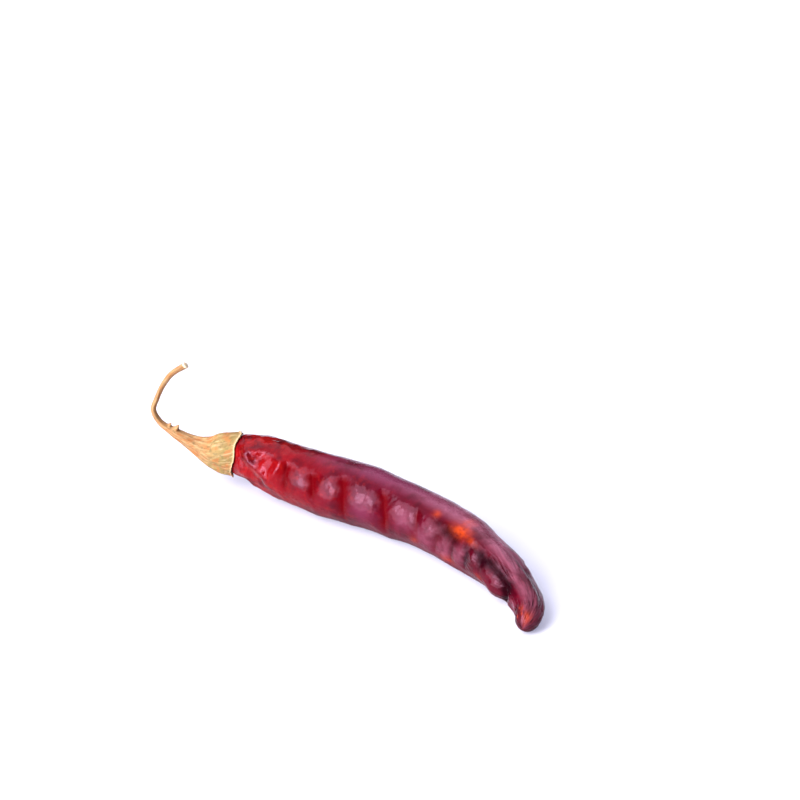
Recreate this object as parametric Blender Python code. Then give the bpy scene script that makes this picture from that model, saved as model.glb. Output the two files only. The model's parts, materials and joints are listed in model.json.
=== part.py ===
"""A dried red chilli as it lies on a table, for Blender 4.5.

Sizes are in metres, +Z is up, and +X runs from the stem end to the tip. The origin is on the table,
under the middle of the chilli. The pod is one closed solid. The calyx and the stem that grows out of
it are another. Each starts as a UV sphere whose rings are drawn out along a spine.
"""

import math
import random
from bisect import bisect_right

import bpy
from mathutils import Vector, noise

MM = 0.001
UP = Vector((0, 0, 1))

# The pod: its size, and the half width along it as (share of the length, share of the widest)
POD_LENGTH = 84.8 * MM
POD_HALF_WIDTH = 6.6 * MM
POD_OUTLINE = (
    (0.00, 0.58),
    (0.03, 0.64),
    (0.095, 0.80),
    (0.22, 0.955),
    (0.35, 1.00),
    (0.48, 0.91),
    (0.60, 0.85),
    (0.70, 0.80),
    (0.80, 0.705),
    (0.86, 0.57),
    (0.91, 0.495),
    (0.96, 0.40),
    (1.00, 0.32),
)
POD_FLATNESS = 0.94  # height over width, where the drying pod has sagged
SHOULDER_ROUND = 3.0 * MM  # length of the domed end inside the calyx
TIP_ROUND = 2.7 * MM
POD_SEGMENTS = 48
POD_SHOULDER_RINGS = 6
POD_BODY_RINGS = 84
POD_TIP_RINGS = 6
SPINE_STEPS = 240

# The pod's spine seen from above, as (share of the length, heading in degrees): it bends gently all the
# way, then hooks at the tip
POD_HEADINGS = (
    (0.00, 31),
    (0.06, 20),
    (0.14, 12.5),
    (0.26, 17),
    (0.38, 16),
    (0.52, 7),
    (0.66, -3.5),
    (0.80, -11),
    (0.86, -14),
    (0.92, -37),
    (0.97, -64),
    (1.00, -72),
)

# The pod's spine seen from the side: it lies on its belly and its tip, with the stem end lifted
STEM_END_LIFT = 3.4 * MM
BELLY_SHARE = 0.33
UNDERSIDE_SINK = 0.30 * MM  # what the table flattens
ARCH_LIFT = 0.55 * MM  # how far the bent half stands clear of the table
ARCH_SHARES = (0.68, 0.17)  # its middle and half length

# The skin's broad unevenness: long swells, and shallow hollows with soft ridges between them. It starts
# a little beyond the calyx.
RELIEF_STARTS = 5 * MM
SWELL_HEIGHT = 0.28 * MM
SWELL_SIZE = 15 * MM
HOLLOW_SPACING = 8.0 * MM
HOLLOW_DEPTH = 0.34 * MM
HOLLOW_SOFTNESS = 9.0
HOLLOW_STEEPNESS = 2.4
HOLLOW_RANGE = (-0.1, 0.5)  # in spacings: a bowl's middle and its ridge

# Crumpled skin at the shoulder, and puckers towards the tip
CRUMPLE_HEIGHT = 0.30 * MM
CRUMPLE_SIZE = 3.4 * MM
CRUMPLE_SHARPNESS = 3.2
CRUMPLE_RISE = 2.5 * MM
CRUMPLE_REACH = 9 * MM
PUCKER_HEIGHT = 0.34 * MM
PUCKERS_ROUND_POD = 2.2
PUCKER_LENGTH = 14 * MM
PUCKER_SHARES = (0.55, 0.90)  # of the pod's length, where they begin and are full
SMOOTH_TIP_SHARE = 0.95

# Folds and ridges on the side that bends inwards. Each is its height and half width in mm, then its
# route over the skin in mm from the stem end and degrees from the top.
FOLDS = (
    (0.50, 0.8, ((4.3, -32), (5.6, -50), (7.2, -65), (9.0, -74), (11.0, -78), (13.0, -100))),
    (0.34, 0.8, ((5.2, -36), (6.6, -43), (7.8, -44), (8.4, -34), (8.2, -16))),
    (0.40, 0.9, ((14.3, -36), (14.2, -52), (13.6, -68), (12.6, -88))),
    (-0.56, 1.3, ((15.5, -36), (16.2, -60), (16.6, -96))),
    (-0.58, 1.3, ((21.2, -38), (22.4, -62), (22.9, -92))),
    (-0.60, 1.5, ((27.8, -26), (29.4, -56), (30.2, -110))),
    (-0.60, 1.5, ((36.4, -26), (38.4, -46), (39.7, -74), (40.0, -114))),
    (-0.36, 0.8, ((46.2, -36), (47.4, -62), (48.4, -92))),
    (-0.30, 0.9, ((53.4, -62), (53.3, -110))),
    (-0.36, 0.9, ((58.0, -68), (57.8, -112))),
    (-0.36, 0.9, ((61.8, -54), (61.9, -108))),
    (0.24, 0.7, ((63.4, -46), (63.2, -58), (64.0, -74))),
    (-0.26, 0.9, ((65.3, -46), (66.0, -64), (66.6, -90))),
    (-0.32, 1.8, ((49.5, -34), (53.0, -40), (56.2, -50), (59.0, -58))),
    (-0.50, 1.5, ((61.6, -47), (64.5, -44), (67.5, -43), (70.6, -45), (73.4, -54), (76.0, -66))),
    (0.16, 1.6, ((50.0, -16), (56.0, -22), (62.0, -24), (68.0, -20), (73.0, -24))),
    (-0.85, 1.0, ((73.2, -62), (74.4, -90), (74.0, -132))),
    (0.45, 1.7, ((70.4, -72), (71.0, -130))),
    (-0.60, 1.3, ((17.0, 96), (30.0, 84), (44.0, 98), (54.0, 88))),
    (-0.40, 1.2, ((50.0, 150), (61.0, 138), (72.0, 152))),
    (-0.35, 1.2, ((30.0, 176), (46.0, 168))),
    (-0.30, 1.1, ((66.0, 20), (72.0, 34), (78.0, 30))),
)

FOLD_REACH = 2.6  # in half widths, as the lip's middle and half width below
FOLD_LIP = (1.9, 0.7)
FOLD_LIP_SHARE = 0.12
VALLEY_POINT = 1.15  # 2 is a rounded valley, 1 a pointed one
FOLD_END_SHARE = 0.25  # how much of a fold's height is left at its ends

# Folds across the side that bends outwards, spaced a little unevenly
BACK_FOLD_SEED = 11
BACK_FOLD_SPACING = 4.4 * MM
BACK_FOLD_SPREAD = (0.6, 1.4)
BACK_FOLD_STARTS = 11 * MM
BACK_FOLD_ENDS = 74 * MM
BACK_FOLD_ANGLES = (72, 128)
BACK_FOLD_HALF_ANGLES = (18, 40)
BACK_FOLD_DEPTHS = (0.14, 0.40)
BACK_FOLD_HALF_WIDTHS = (0.8, 1.3)
BACK_FOLD_SLANT = 1.4

# The calyx and stem: half widths at distances from the rim
CALYX_LENGTH = 13.2 * MM
CALYX_HOLD = 1.9 * MM  # how far the calyx reaches over the pod's domed end
STALK_OUTLINE = (
    (0.0 * MM, 4.40 * MM),
    (1.5 * MM, 4.25 * MM),
    (3.2 * MM, 3.95 * MM),
    (4.7 * MM, 3.45 * MM),
    (6.3 * MM, 2.70 * MM),
    (8.8 * MM, 1.80 * MM),
    (11.3 * MM, 1.40 * MM),
    (13.4 * MM, 1.18 * MM),
    (15.6 * MM, 0.86 * MM),
    (19.0 * MM, 0.66 * MM),
    (26.0 * MM, 0.60 * MM),
    (31.5 * MM, 0.64 * MM),
    (35.0 * MM, 0.76 * MM),
)
STALK_SEGMENTS = 30
CUP_RINGS = 5
LIP_RINGS = 3
CALYX_RINGS = 20
STEM_RINGS = 28
CUP_GAP = 0.36 * MM
LIP_THICKNESS = 0.44 * MM
END_DOME = 0.15 * MM  # how far the stem's cut end stands out

# The rim of the calyx: five short teeth, on an edge that stands further back on one side
TEETH = 5
TOOTH_LENGTH = 0.55 * MM
TOOTH_FLARE = 0.5  # outwards, as a share of the tooth
RIM_SLANT = 1.0 * MM
RIM_SLANT_ANGLE = -152  # the side that stands furthest back, in degrees from the top
RIM_REACH = 2.6 * MM  # how far behind the rim its unevenness dies out

# The ribs and wrinkles of the calyx, the stem's twisted grooves, and the scar where a leaf stood
RIBS_START = 3 * MM  # behind the rim, where the ribs are full
RIBS_END_SHARE = 0.6  # of the calyx's length, where they begin to give way to the stem's grooves
RIB_SHARE = 0.055
CALYX_WRINKLE = 0.16 * MM
CALYX_WRINKLE_SIZE = 3 * MM
STEM_GROOVE_SHARE = 0.13
STEM_TWIST = math.radians(140)
SCAR_DISTANCE = 14.5 * MM
SCAR_HEIGHT = 0.80 * MM
SCAR_HALF_LENGTH = 0.85 * MM
SCAR_HALF_ANGLE = math.radians(34)

# The stalk's turn from the pod's own line, then its route as distance back from the rim, height above
# the rim's centre, and sway to the side
STALK_TURN = math.radians(4.7)
STALK_ROUTE_STEPS = 12
STALK_ROUTE = (
    (2.9 * MM, 0.1 * MM, 0.0 * MM),
    (5.6 * MM, 0.3 * MM, 0.0 * MM),
    (8.0 * MM, 1.05 * MM, 0.0 * MM),
    (10.4 * MM, 2.2 * MM, 0.1 * MM),
    (13.2 * MM, 3.95 * MM, 0.2 * MM),
    (15.7 * MM, 6.0 * MM, 0.4 * MM),
    (16.9 * MM, 8.8 * MM, 0.5 * MM),
    (16.1 * MM, 11.6 * MM, 0.4 * MM),
    (14.8 * MM, 14.7 * MM, 0.2 * MM),
    (12.9 * MM, 17.5 * MM, 0.0 * MM),
    (9.9 * MM, 19.8 * MM, -0.2 * MM),
)


def clamp(value, low=0.0, high=1.0):
    return max(low, min(high, value))


def ramp(value, low, high):
    """Rises smoothly from 0 at low to 1 at high."""
    share = clamp((value - low) / (high - low))
    return share * share * (3 - 2 * share)


def bell(value, centre, half_width):
    """A smooth hump that is 1 at its centre."""
    return math.exp(-(((value - centre) / half_width) ** 2))


def angle_between(angle, centre_degrees):
    """The turn from a centre in degrees to an angle in radians, the short way round."""
    turn = angle - math.radians(centre_degrees)
    return math.atan2(math.sin(turn), math.cos(turn))


def through(stops, where):
    """The height at one place of a smooth line through (place, height) stops."""
    last = len(stops) - 1
    i = int(clamp(bisect_right(stops, (where, math.inf)) - 1, 0, last - 1))
    x0, y0 = stops[i]
    x1, y1 = stops[i + 1]

    def slope(k):
        a, b = stops[max(k - 1, 0)], stops[min(k + 1, last)]
        return (b[1] - a[1]) / (b[0] - a[0])

    step = x1 - x0
    t = clamp((where - x0) / step)
    return (
        y0 * (1 + 2 * t) * (1 - t) ** 2
        + y1 * t * t * (3 - 2 * t)
        + step * slope(i) * t * (1 - t) ** 2
        - step * slope(i + 1) * t * t * (1 - t)
    )


class Spine:
    """A line through points that gives a place, a direction and an upward direction at any distance."""

    def __init__(self, points, start=0.0):
        self.points = points
        self.distances = [start]
        self.alongs = []
        for a, b in zip(points, points[1:]):
            self.distances.append(self.distances[-1] + (b - a).length)
            self.alongs.append((b - a).normalized())
        self.alongs.append(self.alongs[-1])
        self.length = self.distances[-1]
        first = self.alongs[0]
        self.ups = [(UP - first * UP.dot(first)).normalized()]
        for a, b in zip(self.alongs, self.alongs[1:]):
            self.ups.append(a.rotation_difference(b) @ self.ups[-1])

    def place(self, distance, radius, angle):
        """A point at a radius from the spine, with its angle turned from straight up."""
        i = int(clamp(bisect_right(self.distances, distance) - 1, 0, len(self.points) - 2))
        gap = self.distances[i + 1] - self.distances[i]
        share = (distance - self.distances[i]) / gap
        inside = clamp(share)
        centre = self.points[i].lerp(self.points[i + 1], share)
        along = self.alongs[i].lerp(self.alongs[i + 1], inside).normalized()
        up = self.ups[i].lerp(self.ups[i + 1], inside).normalized()
        return centre + radius * (math.cos(angle) * up + math.sin(angle) * up.cross(along))


def pod_half_width(share):
    return POD_HALF_WIDTH * through(POD_OUTLINE, share)


def pod_height_share(share):
    """Height over width, which the table's pull lowers from a full round at the stem end."""
    return 1 - (1 - POD_FLATNESS) * ramp(share, 0, BELLY_SHARE)


def pod_spine():
    """Walks the pod's line over the table in small steps, from inside the calyx to the tip."""
    point = Vector((0, 0, 0))
    points = []
    for i in range(SPINE_STEPS + 1):
        share = i / SPINE_STEPS
        height = pod_half_width(share) * pod_height_share(share)
        height += STEM_END_LIFT * clamp(1 - share / BELLY_SHARE) ** 2
        height += ARCH_LIFT * bell(share, *ARCH_SHARES)
        height -= UNDERSIDE_SINK * ramp(share, 0, BELLY_SHARE)
        points.append(Vector((point.x, point.y, height)))
        turned = math.radians(through(POD_HEADINGS, share))
        point = point + Vector((math.cos(turned), math.sin(turned), 0)) * (POD_LENGTH / SPINE_STEPS)
    return Spine(points)


def on_drum(distance, angle, size):
    """A point on a drum as thick as the pod, in units of size, where noise is read with no seam."""
    around = POD_HALF_WIDTH / size
    return Vector((distance / size, math.cos(angle) * around, math.sin(angle) * around))


def swell(distance, angle):
    return SWELL_HEIGHT * noise.noise(on_drum(distance, angle, SWELL_SIZE))


def hollows(distance, angle):
    """Bowls with soft ridges between them, from the distances to scattered cell middles."""
    distances, _ = noise.voronoi(on_drum(distance, angle, HOLLOW_SPACING))
    total = sum(math.exp(-HOLLOW_SOFTNESS * d * d) for d in distances)
    bowl = -math.log(total) / HOLLOW_SOFTNESS
    return HOLLOW_DEPTH * (HOLLOW_STEEPNESS * clamp(bowl, *HOLLOW_RANGE) - 0.5)


class Fold:
    """A ridge, or a valley where its height is negative, that follows a route over the skin.

    The skin beside it moves a little the other way, as far as its reach.
    """

    def __init__(self, height, half_width, route):
        self.height = height * MM
        self.half_width = half_width * MM
        self.first_angle = route[0][1]
        middle = route[len(route) // 2][0] * MM
        self.radius = pod_half_width(middle / POD_LENGTH)
        self.route = [
            Vector((along * MM, math.radians(turned - self.first_angle) * self.radius))
            for along, turned in route
        ]
        reach = FOLD_REACH * self.half_width
        self.low = min(point.x for point in self.route) - reach
        self.high = max(point.x for point in self.route) + reach

    def relief(self, distance, angle):
        if not self.low < distance < self.high:
            return 0.0
        here = Vector((distance, angle_between(angle, self.first_angle) * self.radius))
        nearest = math.inf
        share = 0.0
        for i, (a, b) in enumerate(zip(self.route, self.route[1:])):
            stretch = b - a
            t = clamp((here - a).dot(stretch) / stretch.length_squared)
            gap = (here - a - stretch * t).length
            if gap < nearest:
                nearest = gap
                share = (i + t) / (len(self.route) - 1)
        across = nearest / self.half_width
        fading = FOLD_END_SHARE + (1 - FOLD_END_SHARE) * clamp(6 * share * (1 - share))
        profile = bell(across, 0, 1) if self.height > 0 else math.exp(-(across**VALLEY_POINT))
        return self.height * fading * (profile - FOLD_LIP_SHARE * bell(across, *FOLD_LIP))


def all_folds():
    """The folds listed by hand, and drawn ones across the other side."""
    draw = random.Random(BACK_FOLD_SEED)
    folds = [Fold(*fold) for fold in FOLDS]
    distance = BACK_FOLD_STARTS
    while distance < BACK_FOLD_ENDS:
        middle = draw.uniform(*BACK_FOLD_ANGLES)
        half_angle = draw.uniform(*BACK_FOLD_HALF_ANGLES)
        slant = draw.uniform(-BACK_FOLD_SLANT, BACK_FOLD_SLANT)
        depth = draw.uniform(*BACK_FOLD_DEPTHS)
        half_width = draw.uniform(*BACK_FOLD_HALF_WIDTHS)
        start = (distance / MM - slant, middle - half_angle)
        end = (distance / MM + slant, middle + half_angle)
        folds.append(Fold(-depth, half_width, (start, end)))
        distance += BACK_FOLD_SPACING * draw.uniform(*BACK_FOLD_SPREAD)
    return folds


def shoulder_crumple(distance, angle):
    """Sharp little ridges round the stem end, which die out along the pod."""
    ridge = 1 - CRUMPLE_SHARPNESS * abs(noise.noise(on_drum(distance, angle, CRUMPLE_SIZE)))
    grows = ramp(distance, SHOULDER_ROUND, SHOULDER_ROUND + CRUMPLE_RISE)
    return CRUMPLE_HEIGHT * ridge * grows * math.exp(-distance / CRUMPLE_REACH)


def tip_puckers(distance, angle):
    """Wrinkles that run down to the tip."""
    around = Vector((0, math.cos(angle), math.sin(angle))) * PUCKERS_ROUND_POD
    lines = noise.noise(around + Vector((distance / PUCKER_LENGTH, 0, 0)))
    return PUCKER_HEIGHT * lines * ramp(distance / POD_LENGTH, *PUCKER_SHARES)


def pod_relief(folds, distance, angle):
    """How far the dried skin stands out from, or sinks into, the pod's smooth form."""
    skin = swell(distance, angle) + hollows(distance, angle)
    skin += shoulder_crumple(distance, angle) + tip_puckers(distance, angle)
    skin += sum(fold.relief(distance, angle) for fold in folds)
    clear_of_calyx = ramp(distance, CALYX_HOLD, RELIEF_STARTS)
    at_tip = 1 - ramp(distance / POD_LENGTH, SMOOTH_TIP_SHARE, 1.0)
    return skin * clear_of_calyx * at_tip


def pod_stations():
    """Rings down the pod as (distance, share of the full half width), closing to a point at each end."""
    stations = []
    for i in range(POD_SHOULDER_RINGS):
        turned = math.pi / 2 * i / POD_SHOULDER_RINGS
        stations.append((SHOULDER_ROUND * (1 - math.cos(turned)), math.sin(turned)))
    body = POD_LENGTH - SHOULDER_ROUND - TIP_ROUND
    for i in range(POD_BODY_RINGS):
        stations.append((SHOULDER_ROUND + body * i / POD_BODY_RINGS, 1.0))
    for i in range(POD_TIP_RINGS + 1):
        turned = math.pi / 2 * i / POD_TIP_RINGS
        stations.append((POD_LENGTH - TIP_ROUND * (1 - math.sin(turned)), math.cos(turned)))
    return stations


def pod_point(spine, folds, station, angle):
    distance, closing = station
    radius = pod_half_width(distance / POD_LENGTH) + pod_relief(folds, distance, angle)
    point = spine.place(distance, closing * radius, angle)
    centre = spine.place(distance, 0, angle)
    point.z = centre.z + (point.z - centre.z) * pod_height_share(distance / POD_LENGTH)
    point.z = max(point.z, 0.0)
    return point


def smooth_route(route, steps):
    """Points on a smooth line through a route's own points, a few steps for each stretch."""
    ends = [route[0] * 2 - route[1], *route, route[-1] * 2 - route[-2]]
    points = []
    for a, b, c, d in zip(ends, ends[1:], ends[2:], ends[3:]):
        for i in range(steps):
            t = i / steps
            point = b * (1 + 2 * t) * (1 - t) ** 2 + c * t * t * (3 - 2 * t)
            point += (c - a) / 2 * t * (1 - t) ** 2
            point -= (d - b) / 2 * t * t * (1 - t)
            points.append(point)
    points.append(route[-1])
    return points


def stalk_spine(pod):
    """The line of the calyx and stem: back from the pod's domed end, then up and over in a hook.

    Its distances are counted from the rim.
    """
    inside = pod.place(0, 0, 0)
    rim = pod.place(CALYX_HOLD, 0, 0)
    away = inside - rim
    heading = math.atan2(away.y, away.x) + STALK_TURN
    back = Vector((math.cos(heading), math.sin(heading), 0))
    sideways = UP.cross(back)
    route = [rim - away, rim]
    route += [rim + back * far + UP * high + sideways * sway for far, high, sway in STALK_ROUTE]
    return Spine(smooth_route(route, STALK_ROUTE_STEPS), start=-away.length)


def stalk_stations(length):
    """Rings from the middle of the cup, over the rim and down to the stem's cut end.

    Each is (distance from the rim, half width, share of the relief, share of the rim's slant).
    """
    stations = []
    last_turn = math.acos(1 - CALYX_HOLD / SHOULDER_ROUND)
    for i in range(CUP_RINGS):
        turned = last_turn * i / CUP_RINGS
        pod_distance = SHOULDER_ROUND * (1 - math.cos(turned))
        radius = pod_half_width(pod_distance / POD_LENGTH) * math.sin(turned)
        depth = CALYX_HOLD - pod_distance + CUP_GAP * math.cos(turned)
        stations.append((depth, radius + CUP_GAP * math.sin(turned), 0.0, (i / CUP_RINGS) ** 2))
    inner = pod_half_width(CALYX_HOLD / POD_LENGTH) * math.sin(last_turn) + CUP_GAP
    for i in range(LIP_RINGS + 1):
        turned = math.pi * i / LIP_RINGS
        radius = inner + LIP_THICKNESS * (1 - math.cos(turned)) / 2
        stations.append((-0.5 * LIP_THICKNESS * math.sin(turned), radius, 1.0, 1.0))
    outside = [CALYX_LENGTH * i / CALYX_RINGS for i in range(1, CALYX_RINGS)]
    stem_length = length - END_DOME - CALYX_LENGTH
    outside += [CALYX_LENGTH + stem_length * i / STEM_RINGS for i in range(STEM_RINGS + 1)]
    for distance in outside:
        stations.append((distance, through(STALK_OUTLINE, distance), 1.0, math.exp(-distance / RIM_REACH)))
    stations.append((length - 0.3 * END_DOME, 0.5 * through(STALK_OUTLINE, length), 1.0, 0.0))
    stations.append((length, 0.0, 0.0, 0.0))
    return stations


def stalk_relief(spine, distance, angle):
    """The stalk's ribs and grooves as a share of its half width, and its wrinkles and scar as a height."""
    in_calyx = 1 - ramp(distance, RIBS_END_SHARE * CALYX_LENGTH, CALYX_LENGTH)
    rib = RIB_SHARE * (math.cos(TEETH * angle) + 0.4 * math.cos(2 * TEETH * angle + 1)) * in_calyx
    twist = angle - STEM_TWIST * distance / spine.length
    groove = STEM_GROOVE_SHARE * (math.cos(2 * twist) + 0.4 * math.cos(5 * twist)) * (1 - in_calyx)
    wrinkle = CALYX_WRINKLE * noise.noise(on_drum(distance / 2, angle, CALYX_WRINKLE_SIZE)) * in_calyx
    scar = SCAR_HEIGHT * bell(distance, SCAR_DISTANCE, SCAR_HALF_LENGTH)
    scar *= bell(angle_between(angle, 0), 0, SCAR_HALF_ANGLE)
    return rib + groove, wrinkle + scar


def stalk_point(spine, station, angle):
    distance, radius, relief, at_rim = station
    share, height = stalk_relief(spine, distance, angle)
    grown = relief * ramp(distance, 0, RIBS_START)
    tooth = TOOTH_LENGTH * (0.5 + 0.5 * math.cos(TEETH * angle)) * relief * at_rim
    slant = RIM_SLANT * (0.5 + 0.5 * math.cos(angle_between(angle, RIM_SLANT_ANGLE))) * at_rim
    half_width = radius * (1 + grown * share) + grown * height + TOOTH_FLARE * tooth
    return spine.place(distance - tooth + slant, half_width, angle)


def draw_out(name, segments, stations, place):
    """Makes a UV sphere and moves each ring of it to its own station."""
    bpy.ops.mesh.primitive_uv_sphere_add(segments=segments, ring_count=len(stations) - 1)
    solid = bpy.context.object
    solid.name = solid.data.name = name
    last = len(stations) - 1
    for vertex in solid.data.vertices:
        ring = round(math.acos(clamp(vertex.co.z, -1, 1)) / math.pi * last)
        angle = math.atan2(vertex.co.y, vertex.co.x)
        vertex.co = place(stations[ring], angle)
    solid.data.shade_smooth()
    return solid


def material(name, colour, roughness):
    made = bpy.data.materials.new(name)
    made.use_nodes = True
    shader = made.node_tree.nodes["Principled BSDF"]
    shader.inputs["Base Color"].default_value = (*colour, 1)
    shader.inputs["Roughness"].default_value = roughness
    shader.inputs["Metallic"].default_value = 0
    return made


def make_pod(spine):
    folds = all_folds()
    pod = draw_out("pod", POD_SEGMENTS, pod_stations(), lambda s, a: pod_point(spine, folds, s, a))
    pod.data.materials.append(material("dried_chilli_skin", (0.23, 0.012, 0.018), 0.34))
    return pod


def make_stalk(pod):
    spine = stalk_spine(pod)
    stations = stalk_stations(spine.length)
    stalk = draw_out("calyx_and_stem", STALK_SEGMENTS, stations, lambda s, a: stalk_point(spine, s, a))
    stalk.data.materials.append(material("dried_stalk", (0.56, 0.38, 0.16), 0.7))
    return stalk


def centre_on_origin(pieces):
    """Moves the pieces together, so that the origin is on the table under the middle of their box."""
    corners = [vertex.co for piece in pieces for vertex in piece.data.vertices]
    middle = [(min(c[i] for c in corners) + max(c[i] for c in corners)) / 2 for i in range(2)]
    chilli = bpy.data.objects.new("chilli", None)
    bpy.context.collection.objects.link(chilli)
    chilli.location = (-middle[0], -middle[1], 0)
    for piece in pieces:
        piece.parent = chilli
    return chilli


def main():
    for old in list(bpy.data.objects):
        bpy.data.objects.remove(old, do_unlink=True)
    home = bpy.data.collections.new("dried_chilli")
    bpy.context.scene.collection.children.link(home)
    layer = bpy.context.view_layer
    layer.active_layer_collection = layer.layer_collection.children[home.name]
    spine = pod_spine()
    pieces = [make_pod(spine), make_stalk(spine)]
    centre_on_origin(pieces)


main()
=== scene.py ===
"""A dried red chilli on a pale table: the looks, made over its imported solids. For Blender 4.5.

It lies along +X with its stem end at -X, in metres, with +Z up.
"""

import json
import math
import random
from bisect import bisect_right

import bmesh
import bpy
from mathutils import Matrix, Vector, noise

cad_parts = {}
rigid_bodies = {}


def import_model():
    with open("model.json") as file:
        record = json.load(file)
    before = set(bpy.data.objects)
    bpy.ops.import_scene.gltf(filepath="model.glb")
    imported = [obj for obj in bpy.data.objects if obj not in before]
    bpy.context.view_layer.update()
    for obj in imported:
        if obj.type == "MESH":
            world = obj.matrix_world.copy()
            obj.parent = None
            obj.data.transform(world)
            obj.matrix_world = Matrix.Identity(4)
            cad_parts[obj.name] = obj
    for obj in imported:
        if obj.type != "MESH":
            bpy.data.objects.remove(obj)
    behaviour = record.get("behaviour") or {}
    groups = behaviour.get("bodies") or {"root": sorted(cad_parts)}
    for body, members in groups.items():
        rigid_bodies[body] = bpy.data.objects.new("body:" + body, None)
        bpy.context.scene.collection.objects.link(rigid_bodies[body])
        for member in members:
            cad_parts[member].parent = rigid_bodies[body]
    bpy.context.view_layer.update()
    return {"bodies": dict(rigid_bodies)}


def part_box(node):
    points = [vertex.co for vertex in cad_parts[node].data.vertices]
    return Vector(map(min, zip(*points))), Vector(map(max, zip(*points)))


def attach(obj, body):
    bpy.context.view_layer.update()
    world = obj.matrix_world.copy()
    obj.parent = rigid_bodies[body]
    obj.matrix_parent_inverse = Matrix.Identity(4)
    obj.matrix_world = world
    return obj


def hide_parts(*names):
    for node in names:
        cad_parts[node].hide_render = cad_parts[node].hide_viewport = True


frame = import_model()
(whole,) = frame["bodies"]


# The pod
# A ripe fruit dried whole: a thin leathery skin, drawn in over the hollow inside until it wrinkles.
# The body lies on its belly and bends away to a hooked tip. Folds cross it on both sides.
MM = 0.001
UP = Vector((0, 0, 1))
POD_LENGTH = 84.8 * MM
POD_HALF_WIDTH = 6.6 * MM
POD_FLATNESS = 0.94  # height over width, where the drying pod has sagged
SHOULDER_ROUND = 3.0 * MM  # length of the domed stem end
CALYX_HOLD = 1.9 * MM  # how much of the domed end the calyx covers
TIP_ROUND = 2.7 * MM
POD_SEGMENTS = 180
POD_SHOULDER_RINGS = 14
POD_BODY_RINGS = 400
POD_TIP_RINGS = 16
SPINE_STEPS = 240
# Half width along the pod as (share of the length, share of the widest)
POD_OUTLINE = (
    (0.00, 0.58),
    (0.03, 0.64),
    (0.095, 0.80),
    (0.22, 0.955),
    (0.35, 1.00),
    (0.48, 0.91),
    (0.60, 0.85),
    (0.70, 0.80),
    (0.80, 0.705),
    (0.86, 0.57),
    (0.91, 0.495),
    (0.96, 0.40),
    (1.00, 0.32),
)
# Its line seen from above as (share of the length, heading in degrees)
POD_HEADINGS = (
    (0.00, 31),
    (0.06, 20),
    (0.14, 12.5),
    (0.26, 17),
    (0.38, 16),
    (0.52, 7),
    (0.66, -3.5),
    (0.80, -11),
    (0.86, -14),
    (0.92, -37),
    (0.97, -64),
    (1.00, -72),
)
STEM_END_LIFT = 3.4 * MM  # how far the stem end curves up off the table
BELLY_SHARE = 0.33  # of the length, where the belly begins to lie flat
UNDERSIDE_SINK = 0.30 * MM  # what the table flattens
ARCH_LIFT = 0.55 * MM  # how far the bent half stands clear of the table
ARCH_SHARES = (0.68, 0.17)  # its middle and half length


def clamp(value, low=0.0, high=1.0):
    return max(low, min(high, value))


def ramp(value, low, high):
    """Rises smoothly from 0 at low to 1 at high."""
    share = clamp((value - low) / (high - low))
    return share * share * (3 - 2 * share)


def bell(value, centre, half_width):
    """A smooth hump that is 1 at its centre."""
    return math.exp(-(((value - centre) / half_width) ** 2))


def angle_between(angle, centre_degrees):
    """The turn from a centre in degrees to an angle in radians, the short way round."""
    turn = angle - math.radians(centre_degrees)
    return math.atan2(math.sin(turn), math.cos(turn))


def through(stops, where):
    """The height at one place of a smooth line through (place, height) stops."""
    last = len(stops) - 1
    i = int(clamp(bisect_right(stops, (where, math.inf)) - 1, 0, last - 1))
    x0, y0 = stops[i]
    x1, y1 = stops[i + 1]

    def slope(k):
        a, b = stops[max(k - 1, 0)], stops[min(k + 1, last)]
        return (b[1] - a[1]) / (b[0] - a[0])

    step = x1 - x0
    t = clamp((where - x0) / step)
    return (
        y0 * (1 + 2 * t) * (1 - t) ** 2
        + y1 * t * t * (3 - 2 * t)
        + step * slope(i) * t * (1 - t) ** 2
        - step * slope(i + 1) * t * t * (1 - t)
    )


class Spine:
    """A line through points, which gives a place at any distance along it and angle round it."""

    def __init__(self, points, start=0.0):
        self.points = points
        self.distances = [start]
        self.alongs = []
        for a, b in zip(points, points[1:]):
            self.distances.append(self.distances[-1] + (b - a).length)
            self.alongs.append((b - a).normalized())
        self.alongs.append(self.alongs[-1])
        self.length = self.distances[-1]
        first = self.alongs[0]
        self.ups = [(UP - first * UP.dot(first)).normalized()]
        for a, b in zip(self.alongs, self.alongs[1:]):
            self.ups.append(a.rotation_difference(b) @ self.ups[-1])

    def place(self, distance, radius, angle):
        """A point at a radius from the spine, with its angle turned from straight up."""
        i = int(clamp(bisect_right(self.distances, distance) - 1, 0, len(self.points) - 2))
        gap = self.distances[i + 1] - self.distances[i]
        share = (distance - self.distances[i]) / gap
        inside = clamp(share)
        centre = self.points[i].lerp(self.points[i + 1], share)
        along = self.alongs[i].lerp(self.alongs[i + 1], inside).normalized()
        up = self.ups[i].lerp(self.ups[i + 1], inside).normalized()
        return centre + radius * (math.cos(angle) * up + math.sin(angle) * up.cross(along))


def pod_half_width(share):
    return POD_HALF_WIDTH * through(POD_OUTLINE, share)


def pod_height_share(share):
    """Height over width, which the table's pull lowers from a full round at the stem end."""
    return 1 - (1 - POD_FLATNESS) * ramp(share, 0, BELLY_SHARE)


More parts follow.
